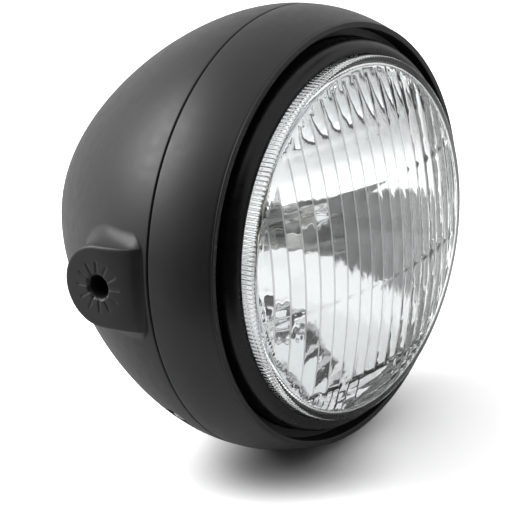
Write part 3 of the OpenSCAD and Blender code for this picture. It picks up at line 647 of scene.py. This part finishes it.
def flute_depth(x, z):
    """How far the flutes stand out from the back of the glass. They grow towards the top."""
    growth_start, growth_run, step_start, edge_slope = 38, 24, 47.2, 1.2
    chord = FLUTE_PITCH / 2
    across = (x / FLUTE_PITCH - np.round(x / FLUTE_PITCH)) * FLUTE_PITCH
    depth = FLUTE_DEPTH + FLUTE_GROWTH * np.clip((z - growth_start) / growth_run, 0, 1) ** 1.2
    curve = (chord * chord + depth * depth) / (2 * depth)
    rise = np.sqrt(np.maximum(curve * curve - across * across, 0)) - curve + depth
    for low, high in zip(ZONE_EDGES[1:], ZONE_EDGES[2:]):
        rise = rise + np.where((z >= low) & (z < high), ZONE_LEAN * (z - low) / (high - low), 0)
    r = np.hypot(x, z)
    step = np.mod(r - step_start, STEP_PITCH) / STEP_PITCH
    rise = np.where(z < ZONE_EDGES[1], STEP_RISE * step, rise)
    return np.where(r < MOUTH_RADIUS, np.clip(rise, 0, (MOUTH_RADIUS - r) * edge_slope), 0)


def lens_rim(skin, fine):
    """The rim: fine ribs round its side, rounded over to the front."""
    wave = (1 - np.cos(fine * RIBS)) / 2
    rows = [skin.add(on_axis(LENS_RADIUS + 0 * wave, LENS_SEAT, fine))]
    for forward in (26.8, 28.0, 29.5, 31.0, 32.6):
        rows.append(skin.add(on_axis(LENS_RADIUS - RIB_DEPTH * wave, forward, fine)))
    for turn in np.radians([18, 36, 54, 72, 90]):
        r = LENS_RADIUS - RIM_ROUND + RIM_ROUND * math.cos(turn) - RIB_DEPTH * wave * math.cos(turn) ** 0.6
        rows.append(skin.add(on_axis(r, RIM_FRONT - RIM_ROUND + RIM_ROUND * math.sin(turn), fine)))
    skin.rings(rows)
    return rows


def lens_dome(skin, angle):
    """The smooth front of the glass, part of a ball."""
    loops = []
    for r in np.append(np.linspace(LENS_RADIUS - 1.25, 8, 30), 4.0):
        p = on_axis(r, dome(r, DOME_BALL), angle)
        loops.append(skin.add(p, (p - [0, SEAM_Y - DOME_CENTRE, 0]) / DOME_BALL))
    skin.rings(loops)
    skin.fan(loops[-1], skin.add([[0, SEAM_Y - FRONT_END, 0]], [[0, -1, 0]])[0])
    return loops[0]


def lens_flange(skin, angle):
    """The step that seats in the bezel and the plain edge behind the fluted field."""
    inner = LENS_RADIUS - 3
    stations = [(FLANGE_RADIUS, LENS_SEAT), (FLANGE_RADIUS, LENS_BACK), (inner, LENS_BACK), (inner, 26.0),
                (inner, 28.7), (inner - 0.2, 29.0)]
    stations += [(r, dome(r, INNER_BALL)) for r in (64.6, 64.0)]
    loops = [skin.add(on_axis(r, a, angle)) for r, a in stations]
    skin.rings(loops)
    return loops


def lens_field(skin):
    """The fluted field on a square grid. It gives the loop round its edge and the loop's places."""
    cells_a_flute, row_height, edge = 14, 1.5, 63.5
    x = np.arange(-130, 131) * (FLUTE_PITCH / cells_a_flute)
    rows = [np.linspace(-63.4, -60.2, 3)]
    for low, high in zip(ZONE_EDGES, ZONE_EDGES[1:]):
        rows.append(np.linspace(low + 0.12, high - 0.12, int(round((high - low) / row_height))))
    z = np.concatenate(rows)
    gx, gz = np.meshgrid(x, z[z < edge + 0.1])
    gr = np.hypot(gx, gz)
    forward = dome(np.minimum(gr, 65), INNER_BALL) - flute_depth(gx, gz)
    corner = gr < edge
    mask = corner[:-1, :-1] & corner[1:, :-1] & corner[:-1, 1:] & corner[1:, 1:]
    used = np.zeros(gx.shape, bool)
    for di in (0, 1):
        for dj in (0, 1):
            used[di:di + mask.shape[0], dj:dj + mask.shape[1]] |= mask
    index = np.full(gx.shape, -1)
    index[used] = skin.add(np.stack([gx, SEAM_Y - forward, gz], -1)[used])
    for i, j in np.argwhere(mask):
        corners = index[i, j], index[i, j + 1], index[i + 1, j + 1], index[i + 1, j]
        skin.faces.append(tuple(int(k) for k in corners))
    loop = edge_loop(mask, index, False)
    return loop, np.array([[skin.points[i][0], skin.points[i][2]] for i in loop])


def make_lens():
    """The glass: rim, dome, flange and fluted field, sewn together."""
    skin = Skin()
    fine, coarse = circle(RIBS * 8), circle(500)
    flat_fine = np.stack([np.cos(fine), np.sin(fine)], -1)
    flat_coarse = np.stack([np.cos(coarse), np.sin(coarse)], -1)
    rim = lens_rim(skin, fine)
    skin.sew(rim[-1], flat_fine, lens_dome(skin, coarse), flat_coarse)
    flange = lens_flange(skin, coarse)
    skin.sew(rim[0], flat_fine, flange[0], flat_coarse)
    loop, place = lens_field(skin)
    skin.sew(loop, place, flange[-1], flat_coarse)
    return skin.build("Lens_glass", 62)


# reflector
def dish(radius):
    """How far forward the mirror is at a radius from the axis."""
    return VERTEX + np.asarray(radius) ** 2 / (4 * FOCAL)


def parking_tube(skin):
    """The side tube of the parking lamp: an eased mouth in the dish and a straight bore behind it."""
    n, bore_start, bore_end = 96, -9.1, -20.0
    phi = circle(n)
    loops = []
    for rho, sink in ((9.2, 0.0), (8.6, 0.1), (8.0, 0.45), (7.6, 1.0), (PARKING_HOLE_RADIUS, 1.8)):
        x, z = rho * np.cos(phi), rho * np.sin(phi) - PARKING_DROP
        forward = dish(np.hypot(x, z)) - sink
        if rho == PARKING_HOLE_RADIUS:
            forward = np.minimum(forward, bore_start)
        loops.append(skin.add(np.stack([x, SEAM_Y - forward, z], -1)))
    loops.append(skin.add(np.stack([x, np.full(n, SEAM_Y - bore_end), z], -1)))
    skin.rings(loops)
    return loops[0], np.stack([np.cos(phi), np.sin(phi)], -1)


def make_reflector():
    """The dish with the tube of the parking lamp, its neck, its back and its flange."""
    skin = Skin()
    rows, columns, patch_radius = 48, 300, 9.6
    angle = circle(columns)
    radii = np.linspace(MOUTH_RADIUS, NECK_RADIUS, rows)
    grid = on_axis(radii[:, None], dish(radii)[:, None], angle[None])
    slope = (radii / (2 * FOCAL))[:, None]
    size = np.hypot(slope, 1)
    away = np.stack([-slope / size * np.cos(angle), np.broadcast_to(-1 / size, (rows, columns)),
                     -slope / size * np.sin(angle)], -1)
    index = skin.add(grid, away).reshape(rows, columns)

    spot = np.stack([grid[..., 0], grid[..., 2] + PARKING_DROP], -1)
    covered = np.linalg.norm(spot, axis=-1) < patch_radius
    ahead = np.roll(covered, -1, axis=1)
    mask = covered[:-1] | covered[1:] | ahead[:-1] | ahead[1:]
    hole = edge_loop(mask, index, True)
    flat = {int(i): p for i, p in zip(index.ravel(), spot.reshape(-1, 2))}
    tube, tube_place = parking_tube(skin)
    skin.sew(hole, [flat[int(i)] for i in hole], tube, tube_place)
    for i, j in np.argwhere(~mask):
        k = (j + 1) % columns
        skin.faces.append((int(index[i, j]), int(index[i, k]), int(index[i + 1, k]), int(index[i + 1, j])))

    neck = [[NECK_RADIUS + 0.2, -24.0], [NECK_RADIUS, NECK_BACK], [NECK_RADIUS + REFLECTOR_WALL, NECK_BACK],
            [NECK_RADIUS + 1.1, -23.6]]
    wall = [[r + 0.8, dish(r) - 0.75] for r in radii[::-2][1:-1]]
    flange = [[MOUTH_RADIUS + 1.5, REFLECTOR_BACK], [FLANGE_RADIUS, REFLECTOR_BACK],
              [FLANGE_RADIUS, REFLECTOR_FRONT], [MOUTH_RADIUS + 0.6, REFLECTOR_FRONT]]
    loops = [skin.add(on_axis(r, a, angle)) for r, a in neck + wall + flange]
    skin.rings([index[-1]] + loops + [index[0]])
    return skin.build("Reflector_dish", 40)


# bulb and small pieces
def make_bulb_glass():
    """The glass tube with its round tip."""
    foot = BULB_SEAT + CUP_HEIGHT - GLASS_SINK
    tip = BULB_SEAT + BULB_REACH - GLASS_TUBE
    bore = GLASS_TUBE - GLASS_TUBE_WALL
    turns = np.radians(np.linspace(0, 90, 13))
    outside = [[GLASS_TUBE * math.cos(t), tip + GLASS_TUBE * math.sin(t)] for t in turns]
    inside = [[bore * math.cos(t), tip + bore * math.sin(t)] for t in turns[::-1]]
    outside[-1][0] = inside[0][0] = 0
    profile = [[0, foot], [GLASS_TUBE, foot], [GLASS_TUBE, -10.0]] + outside + inside
    profile += [[bore, foot + 2], [0, foot + 2]]
    return lathe("Bulb_glass_tube", profile, 64)


def make_bulb_base():
    """The bulb's flange with the skirt behind it and the cup that holds the glass."""
    flange_back = BULB_SEAT - BASE_FLANGE
    skirt_end = flange_back - BASE_SKIRT
    cup_top = BULB_SEAT + CUP_HEIGHT
    glass_foot = cup_top - GLASS_SINK
    skirt = [[0, skirt_end], [BASE_SKIRT_RADIUS, skirt_end], [BASE_SKIRT_RADIUS, flange_back]]
    flange = [[BASE_FLANGE_RADIUS, flange_back], [BASE_FLANGE_RADIUS, BULB_SEAT], [CUP_RADIUS, BULB_SEAT]]
    cup = [[CUP_RADIUS, cup_top], [GLASS_TUBE, cup_top], [GLASS_TUBE, glass_foot], [0, glass_foot]]
    profile = eased(skirt + flange + cup, [0, 0.6, 0.4, 0.3, 0.3, 0.5, 0.4, 0.2, 0, 0], 4)
    return lathe("Bulb_cup", profile, 96)


def make_grommet():
    """The rubber ring in the cable inlet, with a flange inside the shell and one outside."""
    lip, chamfer, outer_chamfer = 2.0, 0.6, 0.8
    inner_end, outer_end = INLET_INSIDE - lip, INLET_FACE + lip
    inside = [[GROMMET_BORE, inner_end], [GROMMET_RADIUS - chamfer, inner_end],
              [GROMMET_RADIUS, inner_end + chamfer], [GROMMET_RADIUS, INLET_INSIDE],
              [INLET_HOLE_RADIUS, INLET_INSIDE]]
    outside = [[INLET_HOLE_RADIUS, INLET_FACE], [GROMMET_RADIUS, INLET_FACE],
               [GROMMET_RADIUS, outer_end - outer_chamfer], [GROMMET_RADIUS - outer_chamfer, outer_end],
               [GROMMET_BORE, outer_end]]
    profile = eased(inside + outside, [0.4, 0.4, 0.4, 0.2, 0, 0, 0.2, 0.6, 0.6, 0.7], 5)
    return lathe("Cable_grommet_ring", profile, 120, at_inlet)


# shader nodes
def range_node(tree, value, start, end, low=0.0, high=1.0):
    """Takes a value from the range start to end over to the range low to high, and holds it there."""
    node = tree.nodes.new("ShaderNodeMapRange")
    for key, number in (("From Min", start), ("From Max", end), ("To Min", low), ("To Max", high)):
        node.inputs[key].default_value = number
    tree.links.new(value, node.inputs["Value"])
    return node.outputs["Result"]


def math_node(tree, kind, *values, clamp=False):
    """One step of arithmetic. Each value is a number or the output of another node."""
    node = tree.nodes.new("ShaderNodeMath")
    node.operation = kind
    node.use_clamp = clamp
    for socket, value in zip(node.inputs, values):
        if isinstance(value, (int, float)):
            socket.default_value = value
        else:
            tree.links.new(value, socket)
    return node.outputs["Value"]


def vector_node(tree, kind, value, fixed):
    """A number from a place and a fixed vector: their distance or their dot product."""
    node = tree.nodes.new("ShaderNodeVectorMath")
    node.operation = kind
    node.inputs[1].default_value = fixed
    tree.links.new(value, node.inputs[0])
    return node.outputs["Value"]


# materials
def material(name, base, rough, grain, bump, spread=0.05, tint=0.12, **sockets):
    """A finish with fine grain: noise moves the colour, the roughness and the surface a little."""
    made = bpy.data.materials.new(name)
    made.use_nodes = True
    tree = made.node_tree
    nodes, links = tree.nodes, tree.links
    shader = nodes["Principled BSDF"]
    place = nodes.new("ShaderNodeTexCoord").outputs["Object"]

    def noise(size, detail=3.0):
        made_noise = nodes.new("ShaderNodeTexNoise")
        made_noise.inputs["Scale"].default_value = 1 / size
        made_noise.inputs["Detail"].default_value = detail
        links.new(place, made_noise.inputs["Vector"])
        return made_noise.outputs["Fac"]

    mix = nodes.new("ShaderNodeMix")
    mix.data_type = "RGBA"
    links.new(range_node(tree, noise(grain * 40), 0.3, 0.7), mix.inputs["Factor"])
    mix.inputs["A"].default_value = [c * (1 - tint) for c in base] + [1]
    mix.inputs["B"].default_value = [min(1, c * (1 + tint)) for c in base] + [1]
    links.new(mix.outputs["Result"], shader.inputs["Base Color"])
    smooth, coarse = max(0, rough - spread), min(1, rough + spread)
    links.new(range_node(tree, noise(grain * 12), 0.3, 0.7, smooth, coarse), shader.inputs["Roughness"])
    relief = nodes.new("ShaderNodeBump")
    relief.inputs["Strength"].default_value = bump
    relief.inputs["Distance"].default_value = grain
    links.new(noise(grain, 2.0), relief.inputs["Height"])
    links.new(relief.outputs["Normal"], shader.inputs["Normal"])
    for key, value in sockets.items():
        shader.inputs[key.replace("_", " ").title().replace("Ior", "IOR")].default_value = value
    return made


FINISH = {
    "black_shell": material("Black_shell", (0.013, 0.013, 0.0132), 0.44, 0.00035, 0.12, 0.03,
                            specular_ior_level=0.4),
    "black_bezel": material("Black_bezel", (0.005, 0.005, 0.005), 0.3, 0.0003, 0.05, 0.05,
                            specular_ior_level=0.3),
    "lens_glass": material("Lens_glass", (0.97, 0.985, 0.98), 0.012, 0.012, 0.02, 0.01, 0.01,
                           transmission_weight=1.0, ior=1.5),
    "sealant": material("Sealant", (0.035, 0.035, 0.035), 0.6, 0.002, 0.3),
    "mirror_coat": material("Mirror_coat", (0.9, 0.91, 0.92), 0.05, 0.006, 0.01, 0.02, 0.01, metallic=1.0),
    "zinc_steel": material("Zinc_steel", (0.62, 0.63, 0.64), 0.3, 0.0004, 0.08, 0.08, metallic=1.0),
    "rubber": material("Rubber", (0.02, 0.02, 0.02), 0.68, 0.0005, 0.15, 0.07),
    "black_screw": material("Black_screw", (0.3, 0.3, 0.31), 0.33, 0.0003, 0.08, 0.06, metallic=1.0),
    "nickel": material("Nickel", (0.68, 0.66, 0.62), 0.22, 0.0005, 0.05, 0.05, metallic=1.0),
    "bulb_glass": material("Bulb_glass", (0.985, 0.99, 0.99), 0.01, 0.01, 0.01, 0.005, 0.005,
                           transmission_weight=1.0, ior=1.47),
    "tungsten": material("Tungsten", (0.35, 0.34, 0.33), 0.4, 0.0002, 0.2, 0.08, metallic=1.0),
    "spring_steel": material("Spring_steel", (0.55, 0.55, 0.55), 0.28, 0.0004, 0.06, 0.06, metallic=1.0),
    "black_socket": material("Black_socket", (0.03, 0.03, 0.032), 0.5, 0.0006, 0.1, 0.06),
}


def frost_dividers(finish):
    """The lines between the flutes are a little rough in a pressed glass, so they scatter some light."""
    line_outer, line_inner = 0.0005, 0.0002
    foot = -0.049
    field_radius = 62.0
    strength = 0.7
    tree = finish.node_tree
    nodes, links = tree.nodes, tree.links
    place = nodes.new("ShaderNodeTexCoord").outputs["Object"]
    split = nodes.new("ShaderNodeSeparateXYZ")
    links.new(place, split.inputs["Vector"])
    half_flute = FLUTE_PITCH * MM / 2
    glass_middle = (DOME_BALL + INNER_BALL) * MM / 2
    edge = (SEAM_Y - float(dome(field_radius, INNER_BALL))) * MM
    from_line = math_node(tree, "PINGPONG", split.outputs["X"], half_flute)
    from_centre = vector_node(tree, "DISTANCE", place, (0, (SEAM_Y - DOME_CENTRE) * MM, 0))
    line = nodes.new("ShaderNodeNewGeometry").outputs["Backfacing"]
    for mask in (range_node(tree, from_line, half_flute - line_outer, half_flute - line_inner),
                 range_node(tree, from_centre, glass_middle + 0.0002, glass_middle - 0.0002),
                 range_node(tree, split.outputs["Z"], foot - 0.0005, foot + 0.0005),
                 range_node(tree, split.outputs["Y"], edge, edge - 0.0005)):
        line = math_node(tree, "MULTIPLY", line, mask)
    rough = nodes.new("ShaderNodeBsdfDiffuse")
    rough.inputs["Color"].default_value = (0.95, 0.96, 0.96, 1)
    mix = nodes.new("ShaderNodeMixShader")
    links.new(math_node(tree, "MULTIPLY", line, strength), mix.inputs["Fac"])
    links.new(nodes["Principled BSDF"].outputs["BSDF"], mix.inputs[1])
    links.new(rough.outputs["BSDF"], mix.inputs[2])
    links.new(mix.outputs["Shader"], nodes["Material Output"].inputs["Surface"])


frost_dividers(FINISH["lens_glass"])


def dress(piece, slot, *nodes):
    """Gives a piece its finish. A piece made here is hung on the root body, and the nodes it replaces are
    hidden.
    """
    piece.data.materials.clear()
    piece.data.materials.append(FINISH[slot])
    if nodes:
        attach(piece, "root")
        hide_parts(*nodes)


dress(make_housing(), "black_shell", "housing")
dress(make_trim_ring(), "black_shell", "trim_ring")
dress(make_bezel(), "black_bezel", "inner_bezel")
dress(make_lens(), "lens_glass", "lens")
dress(make_reflector(), "mirror_coat", "reflector")
dress(make_bulb_glass(), "bulb_glass", "bulb_glass")
dress(make_bulb_base(), "nickel", "bulb_base")
dress(make_grommet(), "rubber", "cable_grommet")

CAD_FINISH = {
    "lens_sealant": "sealant", "retaining_ring": "zinc_steel", "ring_tongues": "zinc_steel",
    "retaining_screws": "zinc_steel", "housing_seal": "rubber", "trim_screws": "zinc_steel",
    "trim_nuts": "zinc_steel", "mount_nuts": "zinc_steel", "bulb_collar": "zinc_steel",
    "bulb_supports": "nickel", "bulb_filaments": "tungsten", "bulb_dip_shield": "nickel",
    "bulb_terminals": "nickel", "bulb_clip": "spring_steel", "clip_screw": "zinc_steel",
    "bulb_boot": "rubber", "parking_grommet": "rubber", "parking_socket": "black_socket",
    "parking_bulb": "bulb_glass",
}
for name, slot in CAD_FINISH.items():
    dress(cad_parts[name], slot)

# floor, light and camera
def make_floor():
    """Paper under the lamp.

    The camera sees a painted shadow round the lamp's foot. Past a line ahead, the lamp mirrors paper
    painted dark.
    """
    half = 6
    height = -0.0852
    foot = (-0.033, -0.040, height)
    # Painted shadow round the foot: how far from the foot it runs, and its tone at the foot.
    foot_start, foot_end = 0.004, 0.052
    painted_shadow_tone, paper_tone = 0.38, 1.6
    # Painted dark reflection: past a line along front, the paper is dark to all rays but the camera's.
    front = (-0.85, -0.527, 0)
    dark_reflection_start, dark_reflection_end = 0.205, 0.235
    painted_dark_reflection_tone = 0.03
    mirrored_tone, added_through_glass = 0.6, 0.85

    mesh = bpy.data.meshes.new("Floor")
    corners = [(-half, -half, height), (half, -half, height), (half, half, height), (-half, half, height)]
    mesh.from_pydata(corners, [], [(0, 1, 2, 3)])
    floor = bpy.data.objects.new("Floor", mesh)
    bpy.context.scene.collection.objects.link(floor)
    finish = bpy.data.materials.new("Floor_paper")
    finish.use_nodes = True
    mesh.materials.append(finish)

    tree = finish.node_tree
    place = tree.nodes.new("ShaderNodeTexCoord").outputs["Object"]
    path = tree.nodes.new("ShaderNodeLightPath")
    seen = path.outputs["Is Camera Ray"]
    from_foot = vector_node(tree, "DISTANCE", place, foot)
    # Painted shadow: to the camera the paper darkens towards the foot of the lamp.
    painted_foot_shadow = range_node(tree, from_foot, foot_start, foot_end, painted_shadow_tone, paper_tone)
    painted_foot_shadow.node.interpolation_type = "SMOOTHSTEP"
    # Painted dark reflection: past the line, mirrored rays and light bounces find dark paper.
    forward = vector_node(tree, "DOT_PRODUCT", place, front)
    painted_dark_reflection = range_node(tree, forward, dark_reflection_start, dark_reflection_end, 1.0, painted_dark_reflection_tone)
    through_glass = path.outputs["Is Transmission Ray"]
    gain = math_node(tree, "MULTIPLY_ADD", through_glass, added_through_glass, mirrored_tone)
    unseen = math_node(tree, "MULTIPLY", painted_dark_reflection, gain)
    seen_tone = math_node(tree, "MULTIPLY", seen, painted_foot_shadow)
    unseen_tone = math_node(tree, "MULTIPLY", math_node(tree, "SUBTRACT", 1.0, seen), unseen)
    shader = tree.nodes.new("ShaderNodeBsdfDiffuse")
    tree.links.new(math_node(tree, "ADD", seen_tone, unseen_tone), shader.inputs["Color"])
    tree.links.new(shader.outputs["BSDF"], tree.nodes["Material Output"].inputs["Surface"])
    return floor


def light_world():
    """A white tent with a dark opening on the camera's side, a dark card and a grey field beside it.

    Directions are in degrees: turn from the lamp's front towards +X, and climb from the horizon.
    """
    degrees = 180 / math.pi
    world = bpy.data.worlds.new("Studio")
    bpy.context.scene.world = world
    world.use_nodes = True
    tree = world.node_tree
    way = tree.nodes.new("ShaderNodeSeparateXYZ")
    tree.links.new(tree.nodes.new("ShaderNodeTexCoord").outputs["Generated"], way.inputs["Vector"])

    def calc(kind, *values, clamp=False):
        return math_node(tree, kind, *values, clamp=clamp)

    def between(value, rise, fall):
        """1 between two edges and 0 outside them. Each edge is a pair of where it starts and ends."""
        up = calc("DIVIDE", calc("SUBTRACT", value, rise[0]), rise[1] - rise[0], clamp=True)
        down = calc("DIVIDE", calc("SUBTRACT", fall[1], value), fall[1] - fall[0], clamp=True)
        return calc("MULTIPLY", up, down)

    def field(turn_rise, turn_fall, height, rise, fall):
        return calc("MULTIPLY", between(turn, turn_rise, turn_fall), between(height, rise, fall))

    ahead = calc("MULTIPLY", way.outputs["Y"], -1)
    turn = calc("MULTIPLY", calc("ARCTAN2", way.outputs["X"], ahead), degrees)
    climb = calc("MULTIPLY", calc("ARCSINE", way.outputs["Z"]), degrees)
    upper_edge = calc("MULTIPLY", calc("SUBTRACT", -16, turn), 1.25)
    upper_edge = calc("MINIMUM", calc("MAXIMUM", upper_edge, -2), 28)
    opening = field((-112, -92), (-14, 10), calc("SUBTRACT", climb, upper_edge), (-90, -80), (13, 19))
    card = field((38, 41), (64, 67), climb, (36, 38), (48, 51))
    beside = field((45, 62), (105, 130), climb, (-30, -20), (0, 12))
    shade = calc("MAXIMUM", calc("MAXIMUM", opening, card), calc("MULTIPLY", beside, 0.55))
    lit = calc("SUBTRACT", 1.0, calc("MULTIPLY", shade, 0.99))

    path = tree.nodes.new("ShaderNodeLightPath")
    mirrored = calc("MAXIMUM", path.outputs["Is Glossy Ray"], path.outputs["Is Transmission Ray"])
    soft_level = calc("MULTIPLY_ADD", way.outputs["Z"], 0.85, 0.35)
    level = calc("MULTIPLY_ADD", calc("SUBTRACT", 1.0, soft_level), mirrored, soft_level)
    tent = tree.nodes["Background"]
    tent.inputs["Color"].default_value = (1, 1, 1, 1)
    tree.links.new(calc("MULTIPLY", level, lit), tent.inputs["Strength"])
    backdrop = tree.nodes.new("ShaderNodeBackground")
    backdrop.inputs["Color"].default_value = (1, 1, 1, 1)
    backdrop.inputs["Strength"].default_value = 1.0
    blend = tree.nodes.new("ShaderNodeMixShader")
    tree.links.new(path.outputs["Is Camera Ray"], blend.inputs["Fac"])
    tree.links.new(tent.outputs["Background"], blend.inputs[1])
    tree.links.new(backdrop.outputs["Background"], blend.inputs[2])
    tree.links.new(blend.outputs["Shader"], tree.nodes["World Output"].inputs["Surface"])


def softbox(name, place, aim, side, power):
    """A square area light."""
    data = bpy.data.lights.new(name, "AREA")
    data.shape = "RECTANGLE"
    data.size = side
    data.size_y = side
    data.energy = power
    lamp = bpy.data.objects.new(name, data)
    lamp.location = place
    lamp.rotation_euler = (Vector(aim) - Vector(place)).to_track_quat("-Z", "Y").to_euler()
    bpy.context.scene.collection.objects.link(lamp)


def place_camera():
    """The camera fitted to the photograph, by its place and its right, up and backward directions."""
    data = bpy.data.cameras.new("Camera")
    data.sensor_width = 36
    data.lens = 138.46
    camera = bpy.data.objects.new("Camera", data)
    bpy.context.scene.collection.objects.link(camera)
    place = (-0.58010, -0.46575, 0.23062)
    right = (0.60018629, -0.79802078, -0.0542148)
    up = (0.28497095, 0.15000752, 0.94672557)
    behind = (-0.74737405, -0.58366135, 0.3174452)
    camera.matrix_world = Matrix([*zip(right, up, behind, place), (0, 0, 0, 1)])
    bpy.context.scene.camera = camera


floor = make_floor()
light_world()
softbox("Back_left_box", place=(-0.93, 1.33, 1.18), aim=(0, 0, 0), side=1.2, power=42)
place_camera()
bpy.context.scene.view_settings.view_transform = "Standard"
